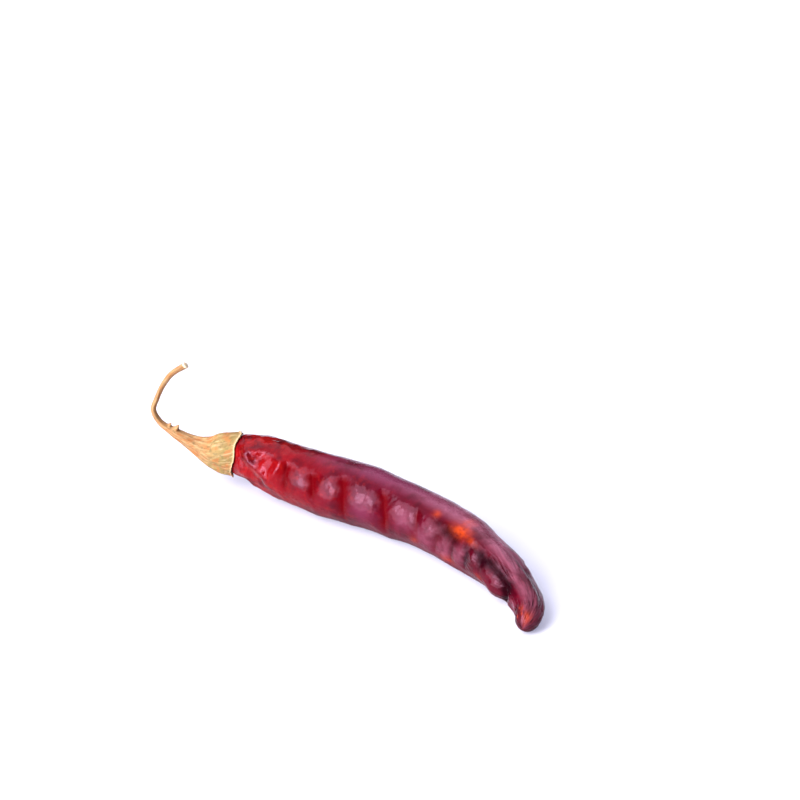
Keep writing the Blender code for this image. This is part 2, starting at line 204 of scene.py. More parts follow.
def pod_spine():
    """Walks the pod's line over the table in small steps, from inside the calyx to the tip."""
    point = Vector((0, 0, 0))
    points = []
    for i in range(SPINE_STEPS + 1):
        share = i / SPINE_STEPS
        height = pod_half_width(share) * pod_height_share(share)
        height += STEM_END_LIFT * clamp(1 - share / BELLY_SHARE) ** 2
        height += ARCH_LIFT * bell(share, *ARCH_SHARES)
        height -= UNDERSIDE_SINK * ramp(share, 0, BELLY_SHARE)
        points.append(Vector((point.x, point.y, height)))
        turned = math.radians(through(POD_HEADINGS, share))
        point = point + Vector((math.cos(turned), math.sin(turned), 0)) * (POD_LENGTH / SPINE_STEPS)
    return Spine(points)


def on_drum(distance, angle, size):
    """A point on a drum as thick as the pod, in units of size, where noise is read with no seam."""
    around = POD_HALF_WIDTH / size
    return Vector((distance / size, math.cos(angle) * around, math.sin(angle) * around))


# The skin's broad unevenness: long swells, shallow hollows with soft ridges between them, crumpled
# skin at the shoulder and puckers towards the tip
RELIEF_STARTS = 5 * MM
SWELL_HEIGHT = 0.28 * MM
SWELL_SIZE = 15 * MM
HOLLOW_SPACING = 8.0 * MM
HOLLOW_DEPTH = 0.34 * MM
HOLLOW_SOFTNESS = 9.0
HOLLOW_STEEPNESS = 2.4
HOLLOW_RANGE = (-0.1, 0.5)  # in spacings: a bowl's middle and its ridge
CRUMPLE_HEIGHT = 0.30 * MM
CRUMPLE_SIZE = 3.4 * MM
CRUMPLE_SHARPNESS = 3.2
CRUMPLE_RISE = 2.5 * MM
CRUMPLE_REACH = 9 * MM
PUCKER_HEIGHT = 0.34 * MM
PUCKERS_ROUND_POD = 2.2
PUCKER_LENGTH = 14 * MM
PUCKER_SHARES = (0.55, 0.90)  # of the pod's length, where they begin and are full
SMOOTH_TIP_SHARE = 0.95


def broad_relief(distance, angle):
    swell = SWELL_HEIGHT * noise.noise(on_drum(distance, angle, SWELL_SIZE))
    distances, _ = noise.voronoi(on_drum(distance, angle, HOLLOW_SPACING))
    total = sum(math.exp(-HOLLOW_SOFTNESS * d * d) for d in distances)
    bowl = clamp(-math.log(total) / HOLLOW_SOFTNESS, *HOLLOW_RANGE)
    hollow = HOLLOW_DEPTH * (HOLLOW_STEEPNESS * bowl - 0.5)
    ridge = 1 - CRUMPLE_SHARPNESS * abs(noise.noise(on_drum(distance, angle, CRUMPLE_SIZE)))
    grows = ramp(distance, SHOULDER_ROUND, SHOULDER_ROUND + CRUMPLE_RISE)
    crumple = CRUMPLE_HEIGHT * ridge * grows * math.exp(-distance / CRUMPLE_REACH)
    around = Vector((0, math.cos(angle), math.sin(angle))) * PUCKERS_ROUND_POD
    lines = noise.noise(around + Vector((distance / PUCKER_LENGTH, 0, 0)))
    pucker = PUCKER_HEIGHT * lines * ramp(distance / POD_LENGTH, *PUCKER_SHARES)
    return swell + hollow + crumple + pucker


# Folds and ridges, most of them on the side that bends inwards. Each is its height and half width
# in mm, then its route over the skin in mm from the stem end and degrees from the top. The tip's
# crease opens where the pod bends away.
TIP_CREASE = (
    -0.50,
    1.5,
    ((61.6, -47), (64.5, -44), (67.5, -43), (70.6, -45), (73.4, -54), (76.0, -66)),
)
FOLDS = (
    (0.50, 0.8, ((4.3, -32), (5.6, -50), (7.2, -65), (9.0, -74), (11.0, -78), (13.0, -100))),
    (0.34, 0.8, ((5.2, -36), (6.6, -43), (7.8, -44), (8.4, -34), (8.2, -16))),
    (0.40, 0.9, ((14.3, -36), (14.2, -52), (13.6, -68), (12.6, -88))),
    (-0.56, 1.3, ((15.5, -36), (16.2, -60), (16.6, -96))),
    (-0.58, 1.3, ((21.2, -38), (22.4, -62), (22.9, -92))),
    (-0.60, 1.5, ((27.8, -26), (29.4, -56), (30.2, -110))),
    (-0.60, 1.5, ((36.4, -26), (38.4, -46), (39.7, -74), (40.0, -114))),
    (-0.36, 0.8, ((46.2, -36), (47.4, -62), (48.4, -92))),
    (-0.30, 0.9, ((53.4, -62), (53.3, -110))),
    (-0.36, 0.9, ((58.0, -68), (57.8, -112))),
    (-0.36, 0.9, ((61.8, -54), (61.9, -108))),
    (0.24, 0.7, ((63.4, -46), (63.2, -58), (64.0, -74))),
    (-0.26, 0.9, ((65.3, -46), (66.0, -64), (66.6, -90))),
    (-0.32, 1.8, ((49.5, -34), (53.0, -40), (56.2, -50), (59.0, -58))),
    TIP_CREASE,
    (0.16, 1.6, ((50.0, -16), (56.0, -22), (62.0, -24), (68.0, -20), (73.0, -24))),
    (-0.85, 1.0, ((73.2, -62), (74.4, -90), (74.0, -132))),
    (0.45, 1.7, ((70.4, -72), (71.0, -130))),
    (-0.60, 1.3, ((17.0, 96), (30.0, 84), (44.0, 98), (54.0, 88))),
    (-0.40, 1.2, ((50.0, 150), (61.0, 138), (72.0, 152))),
    (-0.35, 1.2, ((30.0, 176), (46.0, 168))),
    (-0.30, 1.1, ((66.0, 20), (72.0, 34), (78.0, 30))),
)
FOLD_REACH = 2.6  # in half widths, as the lip's middle and half width below
FOLD_LIP = (1.9, 0.7)
FOLD_LIP_SHARE = 0.12
VALLEY_POINT = 1.15  # 2 is a rounded valley, 1 a pointed one
FOLD_END_SHARE = 0.25  # how much of a fold's height is left at its ends
FOLD_RISE = 6  # how steeply it rises from them
# Folds across the side that bends outwards, spaced a little unevenly
BACK_FOLD_SEED = 11
BACK_FOLD_SPACING = 4.4 * MM
BACK_FOLD_SPREAD = (0.6, 1.4)
BACK_FOLD_STARTS = 11 * MM
BACK_FOLD_ENDS = 74 * MM
BACK_FOLD_ANGLES = (72, 128)
BACK_FOLD_HALF_ANGLES = (18, 40)
BACK_FOLD_DEPTHS = (0.14, 0.40)
BACK_FOLD_HALF_WIDTHS = (0.8, 1.3)
BACK_FOLD_SLANT = 1.4


class Fold:
    """A ridge, or a valley where its height is negative, that follows a route over the skin.

    The skin beside it moves a little the other way, as far as its reach.
    """

    def __init__(self, height, half_width, route):
        self.height = height * MM
        self.half_width = half_width * MM
        self.first_angle = route[0][1]
        middle = route[len(route) // 2][0] * MM
        self.radius = pod_half_width(middle / POD_LENGTH)
        self.route = [
            Vector((along * MM, math.radians(turned - self.first_angle) * self.radius))
            for along, turned in route
        ]
        reach = FOLD_REACH * self.half_width
        self.low = min(point.x for point in self.route) - reach
        self.high = max(point.x for point in self.route) + reach

    def beside(self, distance, angle):
        """How far a place is from the route, and its share of the way along."""
        here = Vector((distance, angle_between(angle, self.first_angle) * self.radius))
        nearest = (math.inf, 0.0)
        for i, (a, b) in enumerate(zip(self.route, self.route[1:])):
            stretch = b - a
            t = clamp((here - a).dot(stretch) / stretch.length_squared)
            gap = (here - a - stretch * t).length
            if gap < nearest[0]:
                nearest = (gap, (i + t) / (len(self.route) - 1))
        return nearest

    def relief(self, distance, angle):
        if not self.low < distance < self.high:
            return 0.0
        gap, share = self.beside(distance, angle)
        across = gap / self.half_width
        risen = clamp(FOLD_RISE * share * (1 - share))
        fading = FOLD_END_SHARE + (1 - FOLD_END_SHARE) * risen
        profile = bell(across, 0, 1) if self.height > 0 else math.exp(-(across**VALLEY_POINT))
        return self.height * fading * (profile - FOLD_LIP_SHARE * bell(across, *FOLD_LIP))


def all_folds():
    """The listed folds, and drawn ones across the other side."""
    draw = random.Random(BACK_FOLD_SEED)
    folds = [Fold(*fold) for fold in FOLDS]
    distance = BACK_FOLD_STARTS
    while distance < BACK_FOLD_ENDS:
        middle = draw.uniform(*BACK_FOLD_ANGLES)
        half_angle = draw.uniform(*BACK_FOLD_HALF_ANGLES)
        slant = draw.uniform(-BACK_FOLD_SLANT, BACK_FOLD_SLANT)
        depth = draw.uniform(*BACK_FOLD_DEPTHS)
        half_width = draw.uniform(*BACK_FOLD_HALF_WIDTHS)
        start = (distance / MM - slant, middle - half_angle)
        end = (distance / MM + slant, middle + half_angle)
        folds.append(Fold(-depth, half_width, (start, end)))
        distance += BACK_FOLD_SPACING * draw.uniform(*BACK_FOLD_SPREAD)
    return folds


# Fine wrinkles that the solids are too coarse for: soft lines that run along the skin towards the
# tip, puckers across the tip's crease, a small crinkle all over, and pits at the tip
FINE_NOISE = (1.0, 2.0, 2)  # the finer layer's loss of strength, its step in size, and the layers
WRINKLE_DEPTH = 0.07 * MM
WRINKLE_SPACING = 1.3 * MM
WRINKLE_LENGTH = 4.5 * MM
WRINKLE_TWIST = math.radians(2.5) / MM
WRINKLE_SHARPNESS = 2.5
WRINKLE_SHARES = (0.55, 0.85)
PUCKERED_DEPTH = 0.02 * MM
PUCKERED_SPACING = 0.9 * MM
PUCKERED_REACH = 2.2 * MM  # to either side of the crease
CRINKLE_HEIGHT = 0.04 * MM
CRINKLE_SIZE = 1.3 * MM
VALLEY_SMOOTHNESS = 0.7  # the share of the crinkle that a fold's bottom loses
SHOULDER_CRINKLE = 1.8  # how much more of it there is at the shoulder, and how far that reaches
SHOULDER_CRINKLE_REACH = 8 * MM
PIT_DEPTH = 0.20 * MM
PIT_SPACING = 1.9 * MM
PIT_EDGE = (0.1, 0.5)  # in spacings from its middle: the bottom's edge and the rim
PIT_SHARES = (0.92, 0.95)


def fine_relief(crease, valley, distance, angle):
    """The fine wrinkles at a spot. valley is how deep in a fold it lies, from 0 to 1."""
    share = distance / POD_LENGTH
    across = POD_HALF_WIDTH / WRINKLE_SPACING
    turned = angle + WRINKLE_TWIST * distance
    spot = Vector((distance / WRINKLE_LENGTH, math.cos(turned) * across, math.sin(turned) * across))
    line = 1 - clamp(WRINKLE_SHARPNESS * abs(noise.fractal(spot, *FINE_NOISE)))
    wrinkle = -WRINKLE_DEPTH * line * ramp(share, *WRINKLE_SHARES)
    rough = CRINKLE_HEIGHT * (1 - VALLEY_SMOOTHNESS * valley)
    rough *= 1 + SHOULDER_CRINKLE * math.exp(-distance / SHOULDER_CRINKLE_REACH)
    crinkle = rough * noise.fractal(on_drum(distance, angle, CRINKLE_SIZE), *FINE_NOISE)
    puckers = 0.0
    if crease.low < distance < crease.high:
        gap, _ = crease.beside(distance, angle)
        wave = noise.noise(Vector((distance / PUCKERED_SPACING, angle, 0)))
        puckers = PUCKERED_DEPTH * wave * bell(gap, 0, PUCKERED_REACH)
    cells, _ = noise.voronoi(on_drum(distance, angle, PIT_SPACING))
    pit = -PIT_DEPTH * (1 - ramp(cells[0], *PIT_EDGE)) * ramp(share, *PIT_SHARES)
    return wrinkle + crinkle + puckers + pit


# Places where the skin ripened less and stayed thin, so light shows through it orange: distance in
# mm, degrees from the top, half length and half width in mm, and strength
THIN_PLACES = (
    (50.6, -24, 0.9, 1.0, 0.5),
    (57.8, -28, 2.2, 1.7, 0.8),
    (57.6, -8, 1.2, 2.4, 0.55),
    (61.2, -34, 1.5, 1.0, 0.4),
    (47.5, -100, 1.1, 1.0, 0.28),
    (57.0, -110, 1.8, 1.1, 0.38),
    (66.5, -96, 1.0, 1.0, 0.22),
    (83.4, 4, 1.2, 2.6, 0.6),
    (81.6, -36, 1.1, 1.4, 0.35),
    (82.9, -30, 0.35, 0.4, 0.7),
    (81.0, -50, 0.3, 0.35, 0.6),
    (83.2, -58, 0.35, 0.4, 0.6),
    (24.0, 118, 2.6, 1.6, 0.6),
    (63.0, 104, 2.2, 1.2, 0.7),
)
# Places painted nearly black, given in the same way. Along the creases on the near side, from 52
# to 75 mm, they are painted shade; the others are skin that browned as it dried.
BROWNED_AND_SHADED_PLACES = (
    (52.6, -40, 1.5, 1.4, 0.6),
    (55.2, -46, 2.2, 1.8, 0.9),
    (57.6, -54, 1.5, 1.5, 0.7),
    (61.0, -52, 1.2, 1.3, 0.5),
    (64.6, -43, 1.7, 1.4, 0.85),
    (66.4, -56, 1.1, 2.2, 0.6),
    (67.6, -42, 1.7, 1.5, 1.0),
    (70.6, -45, 2.2, 1.7, 1.0),
    (73.4, -53, 2.0, 1.9, 1.0),
    (75.0, -68, 1.5, 2.8, 0.9),
    (81.0, -74, 1.5, 2.4, 0.6),
    (82.8, -92, 1.2, 2.4, 0.7),
    (84.6, -60, 0.5, 4.0, 0.6),
    (28.0, 142, 3.0, 1.6, 0.5),
    (70.0, 110, 2.2, 1.4, 0.6),
)
RIM_SHADE = 0.85  # how dark the painted shade in the gap beside the calyx is
RIM_SHADE_DISTANCES = (0.8 * MM, 2.6 * MM)  # where that begins to fade and is gone


def spotted(places, distance, angle):
    """How strongly the nearest of the places marks this spot of the skin, from 0 to 1."""
    most = 0.0
    for along, turned, half_length, half_width, strength in places:
        across = angle_between(angle, turned) * POD_HALF_WIDTH / MM
        near = ((distance / MM - along) / half_length) ** 2 + (across / half_width) ** 2
        most = max(most, strength * math.exp(-near))
    return most


# The waxy bloom on the upper side, from the middle of the pod to the tip: partly the skin's own
# bloom, partly painted sheen where the light from behind and above is mirrored
BLOOM_AND_SHEEN_DISTANCES = (14 * MM, 32 * MM)  # where it begins and is full
BLOOM_AND_SHEEN_MIDDLES = (40, 22)  # in degrees from the top: along the pod, and at the tip
BLOOM_AND_SHEEN_TURNS = (69 * MM, 76 * MM)  # where it passes from the one middle to the other
BLOOM_AND_SHEEN_HALF_ANGLES = (70, 36)  # to either side of the middle, where it ends and is full
BLOOM_AND_SHEEN_TIP_LOSS = 0.55  # the share that is missing at the tip
# Paler patches lower down, given like the thin places: painted highlights where the bulges between
# the folds mirror the softbox
PAINTED_HIGHLIGHT_PLACES = (
    (34.2, -78, 2.6, 3.2, 0.5),
    (44.4, -74, 1.8, 2.8, 0.45),
    (50.6, -84, 2.4, 2.6, 0.6),
    (55.6, -92, 2.0, 2.6, 0.55),
    (60.0, -82, 1.7, 2.4, 0.5),
    (78.5, -86, 1.6, 1.6, 0.5),
)


def bloom_and_sheen_share(distance, angle):
    along_pod, at_tip = BLOOM_AND_SHEEN_MIDDLES
    tipward = ramp(distance, *BLOOM_AND_SHEEN_TURNS)
    turned = math.degrees(abs(angle_between(angle, along_pod + (at_tip - along_pod) * tipward)))
    most = ramp(distance, *BLOOM_AND_SHEEN_DISTANCES) * (1 - BLOOM_AND_SHEEN_TIP_LOSS * tipward)
    ends, full = BLOOM_AND_SHEEN_HALF_ANGLES
    above = most * ramp(-turned, -ends, -full)
    return max(above, spotted(PAINTED_HIGHLIGHT_PLACES, distance, angle))


def pod_stations():
    """Rings down the pod as (distance, share of the full half width), which closes at both ends."""
    stations = []
    for i in range(POD_SHOULDER_RINGS):
        turned = math.pi / 2 * i / POD_SHOULDER_RINGS
        stations.append((SHOULDER_ROUND * (1 - math.cos(turned)), math.sin(turned)))
    body = POD_LENGTH - SHOULDER_ROUND - TIP_ROUND
    for i in range(POD_BODY_RINGS):
        stations.append((SHOULDER_ROUND + body * i / POD_BODY_RINGS, 1.0))
    for i in range(POD_TIP_RINGS + 1):
        turned = math.pi / 2 * i / POD_TIP_RINGS
        stations.append((POD_LENGTH - TIP_ROUND * (1 - math.sin(turned)), math.cos(turned)))
    return stations


def draw_out(name, segments, stations, place, attributes):
    """Makes a ball of rings and moves each ring to its own station.

    place gives a point, the skin's own coordinates in mm, and a value for each of the attributes.
    """
    made = bmesh.new()
    bmesh.ops.create_uvsphere(made, u_segments=segments, v_segments=len(stations) - 1, radius=1)
    skin_place = made.verts.layers.float_vector.new("skin_place")
    layers = [made.verts.layers.float.new(attribute) for attribute in attributes]
    last = len(stations) - 1
    for vertex in made.verts:
        ring = round(math.acos(clamp(vertex.co.z, -1, 1)) / math.pi * last)
        angle = math.atan2(vertex.co.y, vertex.co.x)
        vertex.co, vertex[skin_place], values = place(stations[ring], angle)
        for layer, value in zip(layers, values):
            vertex[layer] = value
    mesh = bpy.data.meshes.new(name)
    made.to_mesh(mesh)
    made.free()
    mesh.shade_smooth()
    piece = bpy.data.objects.new(name, mesh)
    bpy.context.scene.collection.objects.link(piece)
    return piece


DEEP_FOLD = 0.48 * MM  # a fold this deep has the full colour of a fold's bottom
BROAD_SHARE = 0.4  # how much of the broad unevenness counts as a fold in that
DEEP_LINE = 0.12 * MM  # a fine line this deep is fully dark
spine = pod_spine()
folds = all_folds()
tip_crease = Fold(*TIP_CREASE)


def pod_place(station, angle):
    """A vertex of the skin, its own coordinates, and the values that its colours follow."""
    distance, closing = station
    share = distance / POD_LENGTH
    folded = sum(fold.relief(distance, angle) for fold in folds)
    broad = broad_relief(distance, angle)
    depth = clamp(-(folded + BROAD_SHARE * broad) / DEEP_FOLD)
    fine = fine_relief(tip_crease, depth, distance, angle)
    shows = ramp(distance, CALYX_HOLD, RELIEF_STARTS) * (1 - ramp(share, SMOOTH_TIP_SHARE, 1.0))
    relief = (folded + broad) * shows + fine * ramp(distance, SHOULDER_ROUND, RELIEF_STARTS)
    point = spine.place(distance, closing * (pod_half_width(share) + relief), angle)
    centre = spine.place(distance, 0, angle)
    point.z = max(centre.z + (point.z - centre.z) * pod_height_share(share), 0.0)
    # How deep a fine wrinkle is, for its painted shade
    line = clamp(-fine / DEEP_LINE)
    thin, browning_and_shade = (spotted(places, distance, angle) for places in (THIN_PLACES, BROWNED_AND_SHADED_PLACES))
    # Painted shade in the gap between the pod and the calyx's rim
    browning_and_shade = max(browning_and_shade, RIM_SHADE * (1 - ramp(distance, *RIM_SHADE_DISTANCES)))
    values = (depth, line, thin, browning_and_shade, bloom_and_sheen_share(distance, angle))
    return point, on_drum(distance, angle, MM), values


marks = ("fold", "line", "thin", "browning_and_shade", "bloom_and_sheen")
pod = draw_out("pod_skin", POD_SEGMENTS, pod_stations(), pod_place, marks)


def halfway(low, high):
    return (low + high) / 2


def corners(mesh):
    xs, ys, zs = zip(*(vertex.co for vertex in mesh.vertices))
    return Vector((min(xs), min(ys), min(zs))), Vector((max(xs), max(ys), max(zs)))


to_frame = halfway(*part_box("pod")) - halfway(*corners(pod.data))
to_frame.z = 0
for vertex in pod.data.vertices:
    vertex.co += to_frame


def colour(hex_text):
    """An sRGB hex colour as the linear values that a shader takes."""
    parts = [int(hex_text[i : i + 2], 16) / 255 for i in (0, 2, 4)]
    linear = [p / 12.92 if p <= 0.04045 else ((p + 0.055) / 1.055) ** 2.4 for p in parts]
    return (*linear, 1)


def add_node(tree, kind, output, inputs, **settings):
    """Adds one node with its settings, values and links, and gives one of its outputs.

    A Mix node blends colours from its inputs 6 and 7 to its output 2.
    """
    node = tree.nodes.new(kind)
    for key, value in settings.items():
        setattr(node, key, value)
    for key, value in inputs.items():
        if isinstance(value, bpy.types.NodeSocket):
            tree.links.new(value, node.inputs[key])
        else:
            node.inputs[key].default_value = value
    return node.outputs[output]


# Dried chilli skin: a waxy leathery skin with a pinkish gloss over red flesh. It is a vivid red at
# the shoulder and a duller wine red with a mauve bloom further on, which also carries painted sheen
# and painted highlights. Painted shade darkens the folds and fine wrinkles to deep red, nearly
# black towards the tip, and lies along the creases and beside the calyx. The skin is orange where
# it is thin enough for light to show through.
skin = bpy.data.materials.new("dried_chilli_skin")
skin.use_nodes = True
tree = skin.node_tree
shader = tree.nodes["Principled BSDF"]
where = add_node(tree, "ShaderNodeAttribute", "Vector", {}, attribute_name="skin_place")
fold, line, thin, browning_and_shade, bloom_and_sheen = (
    add_node(tree, "ShaderNodeAttribute", "Fac", {}, attribute_name=name) for name in marks
)
along = add_node(tree, "ShaderNodeSeparateXYZ", "X", {"Vector": where})
up = add_node(tree, "ShaderNodeSeparateXYZ", "Y", {"Vector": where})
# Lumps of 4, 1.3 and 0.6 mm
cloud = add_node(
    tree, "ShaderNodeTexNoise", "Fac", {"Vector": where, "Scale": 1 / 4.0, "Detail": 4.0}
)
mottle = add_node(
    tree, "ShaderNodeTexNoise", "Fac", {"Vector": where, "Scale": 1 / 1.3, "Detail": 4.0}
)
grain = add_node(
    tree, "ShaderNodeTexNoise", "Fac", {"Vector": where, "Scale": 1 / 0.6, "Detail": 3.0}
)
# Streaks that run across the pod, 2.5 mm long and 0.45 mm apart
streak_scale = {"Vector": where, "Scale": (1 / 0.45, 1 / 2.5, 1 / 2.5)}
streak_place = add_node(tree, "ShaderNodeMapping", "Vector", streak_scale)
streaks = add_node(
    tree, "ShaderNodeTexNoise", "Fac", {"Vector": streak_place, "Scale": 1, "Detail": 2}
)
# The flesh, from the shoulder's vivid red to wine red by a third of the way
tipward = add_node(
    tree, "ShaderNodeMapRange", "Result", {"Value": along, "From Min": 9, "From Max": 32}
)
ends = {0: tipward, 6: colour("7c080a"), 7: colour("4c0214")}
flesh = add_node(tree, "ShaderNodeMix", 2, ends, data_type="RGBA")
darker_range = {"Value": cloud, "From Min": 0.54, "From Max": 0.36, "To Max": 0.75}
darker = add_node(tree, "ShaderNodeMapRange", "Result", darker_range)
patched = add_node(
    tree, "ShaderNodeMix", 2, {0: darker, 6: flesh, 7: colour("38020c")}, data_type="RGBA"
)
# Warmer specks, fewer towards the tip
warm_range = {"Value": mottle, "From Min": 0.52, "From Max": 0.70, "To Max": 0.4}
warm = add_node(tree, "ShaderNodeMapRange", "Result", warm_range)
stemward_range = {"Value": along, "From Min": 14, "From Max": 44, "To Min": 1.0, "To Max": 0.15}
stemward = add_node(tree, "ShaderNodeMapRange", "Result", stemward_range)
warm = add_node(tree, "ShaderNodeMath", 0, {0: warm, 1: stemward}, operation="MULTIPLY")
mottled = add_node(
    tree, "ShaderNodeMix", 2, {0: warm, 6: patched, 7: colour("941c10")}, data_type="RGBA"
)
# Painted shade in the folds, in bands with streaky edges, nearly black towards the tip
nearly_black = add_node(
    tree, "ShaderNodeMapRange", "Result", {"Value": along, "From Min": 44, "From Max": 62}
)
tones = {0: nearly_black, 6: colour("540106"), 7: colour("180208")}
fold_shade_tone = add_node(tree, "ShaderNodeMix", 2, tones, data_type="RGBA")
streaked = add_node(tree, "ShaderNodeMath", 0, {0: fold, 1: streaks}, operation="ADD")
band_range = {"Value": streaked, "From Min": 0.52, "From Max": 1.35, "To Max": 0.95}
band = add_node(tree, "ShaderNodeMapRange", "Result", band_range)
folded = add_node(tree, "ShaderNodeMix", 2, {0: band, 6: mottled, 7: fold_shade_tone}, data_type="RGBA")
# The bloom with its painted sheen and painted highlights, in soft clouds: wine mauve over the
# belly, and paler towards the tip
veil_range = {"Value": cloud, "From Min": 0.36, "From Max": 0.58, "To Min": 0.25, "To Max": 0.92}
veil = add_node(tree, "ShaderNodeMapRange", "Result", veil_range)
veil = add_node(tree, "ShaderNodeMath", 0, {0: veil, 1: bloom_and_sheen}, operation="MULTIPLY")
paler = add_node(
    tree, "ShaderNodeMapRange", "Result", {"Value": along, "From Min": 38, "From Max": 60}
)
bloom_and_sheen_tones = {0: paler, 6: colour("6c2c46"), 7: colour("8e5266")}
bloom_and_sheen_tone = add_node(tree, "ShaderNodeMix", 2, bloom_and_sheen_tones, data_type="RGBA")
bloomed_and_sheened = add_node(tree, "ShaderNodeMix", 2, {0: veil, 6: folded, 7: bloom_and_sheen_tone}, data_type="RGBA")
# Painted shade in the fine wrinkles, and the nearly black places
line_shade_range = {"Value": line, "From Min": 0.2, "From Max": 1.0, "To Max": 0.4}
line_shade = add_node(tree, "ShaderNodeMapRange", "Result", line_shade_range)
lined = add_node(
    tree, "ShaderNodeMix", 2, {0: line_shade, 6: bloomed_and_sheened, 7: colour("36050c")}, data_type="RGBA"
)
# Nearly black: painted shade along the creases and beside the calyx, browned skin elsewhere
brown_and_shade_range = {"Value": mottle, "From Min": 0.32, "From Max": 0.50, "To Min": 0.55, "To Max": 1.0}
brown_and_shade = add_node(tree, "ShaderNodeMapRange", "Result", brown_and_shade_range)
brown_and_shade = add_node(tree, "ShaderNodeMath", 0, {0: brown_and_shade, 1: browning_and_shade}, operation="MULTIPLY")
browned_and_shaded = add_node(
    tree, "ShaderNodeMix", 2, {0: brown_and_shade, 6: lined, 7: colour("1a0208")}, data_type="RGBA"
)
# Thin places
glow_range = {"Value": mottle, "From Min": 0.30, "From Max": 0.55, "To Min": 0.3, "To Max": 1.0}
glow = add_node(tree, "ShaderNodeMapRange", "Result", glow_range)
glow = add_node(tree, "ShaderNodeMath", 0, {0: glow, 1: thin}, operation="MULTIPLY")
coloured = add_node(
    tree, "ShaderNodeMix", 2, {0: glow, 6: browned_and_shaded, 7: colour("b03c14")}, data_type="RGBA"
)
tree.links.new(coloured, shader.inputs["Base Color"])
# The gloss is a little uneven. The bloom is less glossy, and the dusty underside is matt. The
# bottoms of the folds and the dark places are a little rougher, and their reflections are tinted
# nearly black: painted shade in the folds, along the creases and beside the calyx, and browned skin
# elsewhere that has lost its wax.
gloss_range = {"Value": grain, "From Min": 0.3, "From Max": 0.7, "To Min": 0.12, "To Max": 0.21}
gloss = add_node(tree, "ShaderNodeMapRange", "Result", gloss_range)
matt = add_node(tree, "ShaderNodeMath", 0, {0: bloom_and_sheen, 1: 0.1, 2: gloss}, operation="MULTIPLY_ADD")
dusty_range = {"Value": up, "From Min": -0.5, "From Max": -4.0, "To Max": 0.4}
dusty = add_node(tree, "ShaderNodeMapRange", "Result", dusty_range)
matt = add_node(tree, "ShaderNodeMath", 0, {0: matt, 1: dusty}, operation="ADD")
shade_and_browning_share = add_node(tree, "ShaderNodeMath", 0, {0: fold, 1: browning_and_shade}, operation="MAXIMUM")
dull = add_node(tree, "ShaderNodeMath", 0, {0: shade_and_browning_share, 1: 0.12, 2: matt}, operation="MULTIPLY_ADD")
tree.links.new(dull, shader.inputs["Roughness"])
sheens = {0: shade_and_browning_share, 6: colour("ffbee0"), 7: colour("420e18")}
sheen = add_node(tree, "ShaderNodeMix", 2, sheens, data_type="RGBA")
tree.links.new(sheen, shader.inputs["Specular Tint"])
# The streaks and the grain stand out a little
crease_sizes = {"Height": streaks, "Strength": 0.5, "Distance": 0.035 * MM}
creased = add_node(tree, "ShaderNodeBump", "Normal", crease_sizes)
grain_sizes = {"Height": grain, "Normal": creased, "Strength": 0.35, "Distance": 0.03 * MM}
grained = add_node(tree, "ShaderNodeBump", "Normal", grain_sizes)
tree.links.new(grained, shader.inputs["Normal"])
shader.inputs["IOR"].default_value = 1.28
pod.data.materials.append(skin)
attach(pod, whole)
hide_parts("pod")


# The calyx and stem
# The fruit's own stalk, dried to straw: a cup with five short teeth clasps the pod's shoulder and
# draws in to a twisted, grooved stem, which curls up and over to the place where it was cut.
CALYX_LENGTH = 13.2 * MM
# Half widths at distances from the rim
STALK_OUTLINE = (
    (0.0 * MM, 4.40 * MM),
    (1.5 * MM, 4.25 * MM),
    (3.2 * MM, 3.95 * MM),
    (4.7 * MM, 3.45 * MM),
    (6.3 * MM, 2.70 * MM),
    (8.8 * MM, 1.80 * MM),
    (11.3 * MM, 1.40 * MM),
    (13.4 * MM, 1.18 * MM),
    (15.6 * MM, 0.86 * MM),
    (19.0 * MM, 0.66 * MM),
    (26.0 * MM, 0.60 * MM),
    (31.5 * MM, 0.64 * MM),
    (35.0 * MM, 0.76 * MM),
)
STALK_SEGMENTS = 120
CUP_RINGS = 20
LIP_RINGS = 8
CALYX_RINGS = 110
STEM_RINGS = 150
CUP_GAP = 0.36 * MM
LIP_THICKNESS = 0.44 * MM
END_DOME = 0.15 * MM
END_DOME_STEPS = ((0.8, 0.9), (0.5, 0.6), (0.2, 0.3))  # shares of the dome's length and width
EDGE_WIDTH = 0.14 * MM  # how far the pale rim reaches
CUT_REACH = 0.7 * MM  # how far the pale wood shows from the cut end
TEETH = 5
TOOTH_LENGTH = 0.55 * MM
TOOTH_FLARE = 0.5  # outwards, as a share of the tooth
RIM_SLANT = 1.0 * MM  # how much further back the rim stands on one side
RIM_SLANT_ANGLE = -152  # that side, in degrees from the top
RIM_REACH = 2.6 * MM  # how far behind the rim its unevenness dies out
RIM_RAGGED = 0.16 * MM
RIM_RAGGED_SIZE = 1.1 * MM
RIBS_START = 3 * MM  # where the ribs are full
RIBS_END_SHARE = 0.6  # of the calyx's length, where they begin to give way to the stem's grooves
RIB_SHARE = 0.055  # height over half width
STEM_GROOVE_SHARE = 0.13
MINOR_SHARE = 0.4  # how high the ribs and grooves between the main ones are
STEM_TWIST = math.radians(140)
CALYX_WRINKLE = 0.16 * MM
CALYX_WRINKLE_SIZE = 3 * MM
CALYX_WRINKLE_STRETCH = 2  # length over width
VEIN_DEPTH = 0.06 * MM
VEIN_SPACING = 0.9 * MM
VEIN_LENGTH = 7 * MM
VEIN_SHARPNESS = 3.5
VEIN_FULL_HALF_WIDTH = 2 * MM  # where the stalk is thinner, its veins are shallower
HUSK_DRUM = 4 * MM  # radius of the drum on which the husk's colours are read
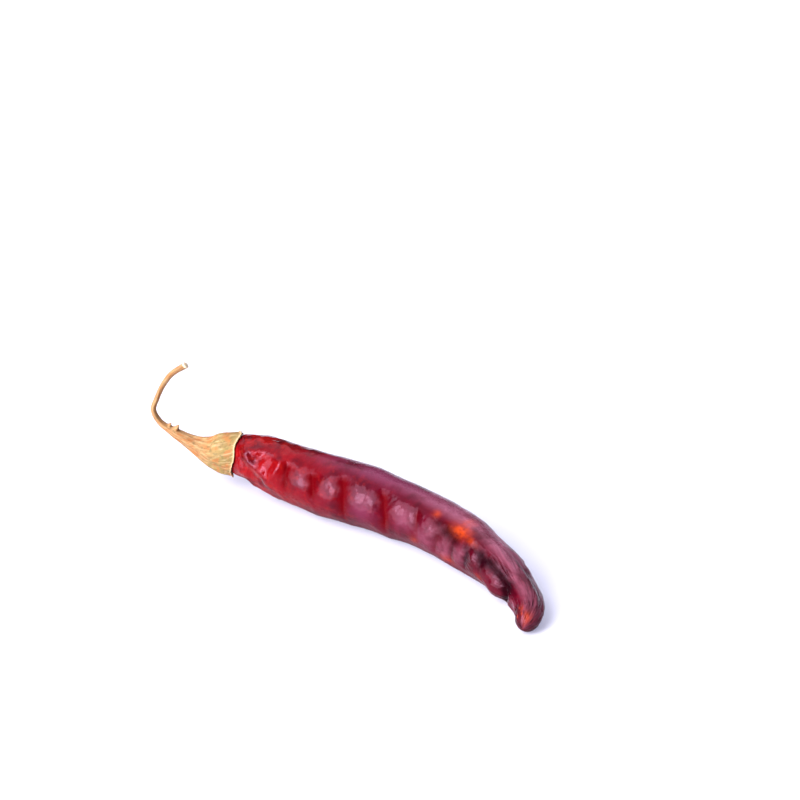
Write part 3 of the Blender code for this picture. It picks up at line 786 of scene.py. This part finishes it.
# The torn scar where a leaf stood, in two points: distance, height, half length
SCAR_POINTS = ((13.9 * MM, 1.05 * MM, 0.36 * MM), (15.4 * MM, 0.60 * MM, 0.30 * MM))
SCAR_HALF_ANGLE = math.radians(30)
STALK_TURN = math.radians(4.7)  # from the pod's own line, seen from above
STALK_ROUTE_STEPS = 12
# Distance back from the rim, height above the rim's centre, and sway to the side
STALK_ROUTE = (
    (2.9 * MM, 0.1 * MM, 0.0 * MM),
    (5.6 * MM, 0.3 * MM, 0.0 * MM),
    (8.0 * MM, 1.05 * MM, 0.0 * MM),
    (10.4 * MM, 2.2 * MM, 0.1 * MM),
    (13.2 * MM, 3.95 * MM, 0.2 * MM),
    (15.7 * MM, 6.0 * MM, 0.4 * MM),
    (16.9 * MM, 8.8 * MM, 0.5 * MM),
    (16.1 * MM, 11.6 * MM, 0.4 * MM),
    (14.8 * MM, 14.7 * MM, 0.2 * MM),
    (12.9 * MM, 17.5 * MM, 0.0 * MM),
    (9.9 * MM, 19.8 * MM, -0.2 * MM),
)


def smooth_route(route, steps):
    """Points on a smooth line through a route's own points, a few steps for each stretch."""
    ends = [route[0] * 2 - route[1], *route, route[-1] * 2 - route[-2]]
    points = []
    for a, b, c, d in zip(ends, ends[1:], ends[2:], ends[3:]):
        for i in range(steps):
            t = i / steps
            point = b * (1 + 2 * t) * (1 - t) ** 2 + c * t * t * (3 - 2 * t)
            point += (c - a) / 2 * t * (1 - t) ** 2
            point -= (d - b) / 2 * t * t * (1 - t)
            points.append(point)
    points.append(route[-1])
    return points


def stalk_spine(pod_line):
    """The line of the calyx and stem: back from the pod's domed end, then up and over in a hook.

    Its distances are counted from the rim.
    """
    inside = pod_line.place(0, 0, 0)
    rim = pod_line.place(CALYX_HOLD, 0, 0)
    away = inside - rim
    heading = math.atan2(away.y, away.x) + STALK_TURN
    back = Vector((math.cos(heading), math.sin(heading), 0))
    sideways = UP.cross(back)
    route = [rim - away, rim]
    route += [rim + back * far + UP * high + sideways * sway for far, high, sway in STALK_ROUTE]
    return Spine(smooth_route(route, STALK_ROUTE_STEPS), start=-away.length)


def stalk_stations(length):
    """Rings from the middle of the cup, over the rim and down to the stem's cut end.

    Each is (distance from the rim, half width, share of the relief, share of the rim's slant).
    """
    stations = []
    last_turn = math.acos(1 - CALYX_HOLD / SHOULDER_ROUND)
    for i in range(CUP_RINGS):
        turned = last_turn * i / CUP_RINGS
        pod_distance = SHOULDER_ROUND * (1 - math.cos(turned))
        radius = pod_half_width(pod_distance / POD_LENGTH) * math.sin(turned)
        depth = CALYX_HOLD - pod_distance + CUP_GAP * math.cos(turned)
        stations.append((depth, radius + CUP_GAP * math.sin(turned), 0.0, (i / CUP_RINGS) ** 2))
    inner = pod_half_width(CALYX_HOLD / POD_LENGTH) * math.sin(last_turn) + CUP_GAP
    for i in range(LIP_RINGS + 1):
        turned = math.pi * i / LIP_RINGS
        radius = inner + LIP_THICKNESS * (1 - math.cos(turned)) / 2
        stations.append((-0.5 * LIP_THICKNESS * math.sin(turned), radius, 1.0, 1.0))
    outside = [CALYX_LENGTH * i / CALYX_RINGS for i in range(1, CALYX_RINGS)]
    stem_length = length - END_DOME - CALYX_LENGTH
    outside += [CALYX_LENGTH + stem_length * i / STEM_RINGS for i in range(STEM_RINGS + 1)]
    for distance in outside:
        half_width = through(STALK_OUTLINE, distance)
        stations.append((distance, half_width, 1.0, math.exp(-distance / RIM_REACH)))
    end_width = through(STALK_OUTLINE, length)
    for left, width_share in END_DOME_STEPS:
        stations.append((length - left * END_DOME, width_share * end_width, 1.0, 0.0))
    stations.append((length, 0.0, 0.0, 0.0))
    return stations


stalk_line = stalk_spine(spine)


def stalk_place(station, angle):
    """A vertex of the husk, its own coordinates, and the values that its colours follow."""
    distance, radius, relief, at_rim = station
    in_calyx = 1 - ramp(distance, RIBS_END_SHARE * CALYX_LENGTH, CALYX_LENGTH)
    rib = math.cos(TEETH * angle) + MINOR_SHARE * math.cos(2 * TEETH * angle + 1)
    rib *= RIB_SHARE * in_calyx
    twist = angle - STEM_TWIST * distance / stalk_line.length
    groove = math.cos(2 * twist) + MINOR_SHARE * math.cos(5 * twist)
    groove *= STEM_GROOVE_SHARE * (1 - in_calyx)
    wrinkle_spot = on_drum(distance / CALYX_WRINKLE_STRETCH, angle, CALYX_WRINKLE_SIZE)
    wrinkle = CALYX_WRINKLE * noise.noise(wrinkle_spot) * in_calyx
    around = radius / VEIN_SPACING
    vein_spot = Vector((distance / VEIN_LENGTH, math.cos(twist) * around, math.sin(twist) * around))
    vein = 1 - clamp(VEIN_SHARPNESS * abs(noise.noise(vein_spot)))
    wrinkle -= VEIN_DEPTH * vein * min(1.0, radius / VEIN_FULL_HALF_WIDTH)
    scar = sum(height * bell(distance, at, half_length) for at, height, half_length in SCAR_POINTS)
    scar *= bell(angle_between(angle, 0), 0, SCAR_HALF_ANGLE)
    grown = relief * ramp(distance, 0, RIBS_START)
    tooth = TOOTH_LENGTH * (0.5 + 0.5 * math.cos(TEETH * angle)) * relief * at_rim
    tooth += RIM_RAGGED * noise.noise(on_drum(0, angle, RIM_RAGGED_SIZE)) * relief * at_rim
    slant = RIM_SLANT * (0.5 + 0.5 * math.cos(angle_between(angle, RIM_SLANT_ANGLE))) * at_rim
    half_width = radius * (1 + grown * (rib + groove)) + grown * (wrinkle + scar)
    half_width += TOOTH_FLARE * tooth
    point = stalk_line.place(distance - tooth + slant, half_width, angle) + to_frame
    edge = math.exp(-abs(distance) / EDGE_WIDTH)
    cut = ramp(distance, stalk_line.length - CUT_REACH, stalk_line.length - CUT_REACH / 2)
    drum = Vector((distance, math.cos(twist) * HUSK_DRUM, math.sin(twist) * HUSK_DRUM)) / MM
    return point, drum, (edge, vein * relief, cut)


stations = stalk_stations(stalk_line.length)
marks = ("edge", "vein", "cut")
stalk = draw_out("stalk_husk", STALK_SEGMENTS, stations, stalk_place, marks)

# Dried chilli stalk: woody straw with no shine. Fibres run along it. It is olive and mottled with
# rusty brown on the cup and a pinkish tan on the stem, with dark specks, a pale rim and a cream cut
# end.
husk = bpy.data.materials.new("dried_stalk")
husk.use_nodes = True
tree = husk.node_tree
shader = tree.nodes["Principled BSDF"]
where = add_node(tree, "ShaderNodeAttribute", "Vector", {}, attribute_name="skin_place")
edge, vein, cut = (
    add_node(tree, "ShaderNodeAttribute", "Fac", {}, attribute_name=name) for name in marks
)
along = add_node(tree, "ShaderNodeSeparateXYZ", "X", {"Vector": where})
# Fibres 2.4 mm long and 0.5 mm apart, and lumps of 1.8, 0.7 and 0.4 mm
fibre_scale = {"Vector": where, "Scale": (1 / 2.4, 1 / 0.5, 1 / 0.5)}
fibre_place = add_node(tree, "ShaderNodeMapping", "Vector", fibre_scale)
fibre = add_node(
    tree, "ShaderNodeTexNoise", "Fac", {"Vector": fibre_place, "Scale": 1, "Detail": 3}
)
blotch = add_node(
    tree, "ShaderNodeTexNoise", "Fac", {"Vector": where, "Scale": 1 / 1.8, "Detail": 4}
)
fleck = add_node(
    tree, "ShaderNodeTexNoise", "Fac", {"Vector": where, "Scale": 1 / 0.7, "Detail": 2}
)
speck = add_node(
    tree, "ShaderNodeTexNoise", "Fac", {"Vector": where, "Scale": 1 / 0.4, "Detail": 1}
)
stemward = add_node(
    tree, "ShaderNodeMapRange", "Result", {"Value": along, "From Min": 2, "From Max": 10}
)
ends = {0: stemward, 6: colour("86703c"), 7: colour("a87c50")}
straw = add_node(tree, "ShaderNodeMix", 2, ends, data_type="RGBA")
# Rusty blotches, green flecks, bleached fibres, dark specks and grooves
rust_range = {"Value": blotch, "From Min": 0.46, "From Max": 0.60, "To Max": 0.9}
rust = add_node(tree, "ShaderNodeMapRange", "Result", rust_range)
rusty = add_node(
    tree, "ShaderNodeMix", 2, {0: rust, 6: straw, 7: colour("a0602c")}, data_type="RGBA"
)
green_range = {"Value": fleck, "From Min": 0.48, "From Max": 0.34, "To Max": 0.6}
green = add_node(tree, "ShaderNodeMapRange", "Result", green_range)
mottled = add_node(
    tree, "ShaderNodeMix", 2, {0: green, 6: rusty, 7: colour("6a5c30")}, data_type="RGBA"
)
pale_range = {"Value": fibre, "From Min": 0.52, "From Max": 0.70, "To Max": 0.5}
pale = add_node(tree, "ShaderNodeMapRange", "Result", pale_range)
bleached = add_node(
    tree, "ShaderNodeMix", 2, {0: pale, 6: mottled, 7: colour("cdb488")}, data_type="RGBA"
)
spots_range = {"Value": speck, "From Min": 0.66, "From Max": 0.74, "To Max": 0.6}
spots = add_node(tree, "ShaderNodeMapRange", "Result", spots_range)
dotted = add_node(
    tree, "ShaderNodeMix", 2, {0: spots, 6: bleached, 7: colour("3c2814")}, data_type="RGBA"
)
groove = add_node(tree, "ShaderNodeMath", 0, {0: vein, 1: 0.3}, operation="MULTIPLY")
grooved = add_node(
    tree, "ShaderNodeMix", 2, {0: groove, 6: dotted, 7: colour("54391c")}, data_type="RGBA"
)
rimmed = add_node(
    tree, "ShaderNodeMix", 2, {0: edge, 6: grooved, 7: colour("d0b088")}, data_type="RGBA"
)
ended = add_node(
    tree, "ShaderNodeMix", 2, {0: cut, 6: rimmed, 7: colour("e8d0ac")}, data_type="RGBA"
)
tree.links.new(ended, shader.inputs["Base Color"])
ridges = {"Height": fibre, "Strength": 0.5, "Distance": 0.06 * MM}
ridged = add_node(tree, "ShaderNodeBump", "Normal", ridges)
tree.links.new(ridged, shader.inputs["Normal"])
shader.inputs["Roughness"].default_value = 0.75
shader.inputs["IOR"].default_value = 1.45
stalk.data.materials.append(husk)
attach(stalk, whole)
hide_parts("calyx_and_stem")


# The table
# A plain sheet of backlit white acrylic, wide enough to fill every view.
TABLE_SIZE = 6.0
made = bmesh.new()
bmesh.ops.create_grid(made, x_segments=1, y_segments=1, size=TABLE_SIZE / 2)
table_mesh = bpy.data.meshes.new("table_top")
made.to_mesh(table_mesh)
made.free()
table = bpy.data.objects.new("table_top", table_mesh)
bpy.context.scene.collection.objects.link(table)
# It is matt and glows with a cool light from below, so shadows on it stay pale and lilac
acrylic = bpy.data.materials.new("backlit_white_acrylic")
acrylic.use_nodes = True
shader = acrylic.node_tree.nodes["Principled BSDF"]
shader.inputs["Base Color"].default_value = colour("aeaeb4")
shader.inputs["Roughness"].default_value = 0.6
shader.inputs["Emission Color"].default_value = colour("dedeff")
shader.inputs["Emission Strength"].default_value = 0.46
table_mesh.materials.append(acrylic)


# The light
# A wide cool panel stands behind and above. A tall softbox with a small lamp stands to the left of
# the camera, where the bulges between the folds mirror it. The room itself is nearly dark, so the
# folds stay deep red.
CAMERA_AZIMUTH = 44.7
CAMERA_ELEVATION = 32.0
CAMERA_DISTANCE = 0.7875
AIM = Vector((-0.0312, 0.0423, 0.0))


def seen_from(azimuth, elevation, distance, centre):
    """A place at a distance from a centre, by degrees round from -Y and degrees up."""
    a, e = math.radians(azimuth), math.radians(elevation)
    level = Vector((math.sin(a), -math.cos(a), 0)) * math.cos(e)
    return centre + distance * (level + UP * math.sin(e))


def add_panel(name, azimuth, elevation, distance, size, watts, tint):
    light = bpy.data.lights.new(name, "AREA")
    light.shape = "RECTANGLE"
    light.size, light.size_y = size
    light.energy = watts
    light.color = tint
    panel = bpy.data.objects.new(name, light)
    bpy.context.scene.collection.objects.link(panel)
    panel.location = seen_from(azimuth, elevation, distance, Vector((0, 0, 0)))
    panel.rotation_euler = (-panel.location).to_track_quat("-Z", "Y").to_euler()
    panel.visible_camera = False


add_panel("back_panel", CAMERA_AZIMUTH + 180, 62, 1.8, (3.2, 2.2), 37, (0.86, 0.86, 1.0))
add_panel("front_softbox", CAMERA_AZIMUTH - 56, 31, 1.2, (0.96, 2.10), 52, (0.97, 0.96, 1.0))
add_panel("front_lamp", CAMERA_AZIMUTH - 48, 38, 1.1, (0.36, 0.60), 11, (1.0, 0.97, 1.0))
room = bpy.data.worlds.new("room")
bpy.context.scene.world = room
room.use_nodes = True
room.node_tree.nodes["Background"].inputs["Color"].default_value = (0.80, 0.84, 1.0, 1)
room.node_tree.nodes["Background"].inputs["Strength"].default_value = 0.05


# The camera
# A long lens from the front, at the height of a person bending over the table.
LENS = 168.75
SENSOR = 36.0
camera = bpy.data.objects.new("camera", bpy.data.cameras.new("camera"))
bpy.context.scene.collection.objects.link(camera)
camera.data.lens = LENS
camera.data.sensor_width = SENSOR
camera.data.clip_start = 0.01
camera.location = seen_from(CAMERA_AZIMUTH, CAMERA_ELEVATION, CAMERA_DISTANCE, AIM)
camera.rotation_euler = (math.radians(90 - CAMERA_ELEVATION), 0, math.radians(CAMERA_AZIMUTH))
bpy.context.scene.camera = camera
bpy.context.scene.view_settings.view_transform = "Standard"
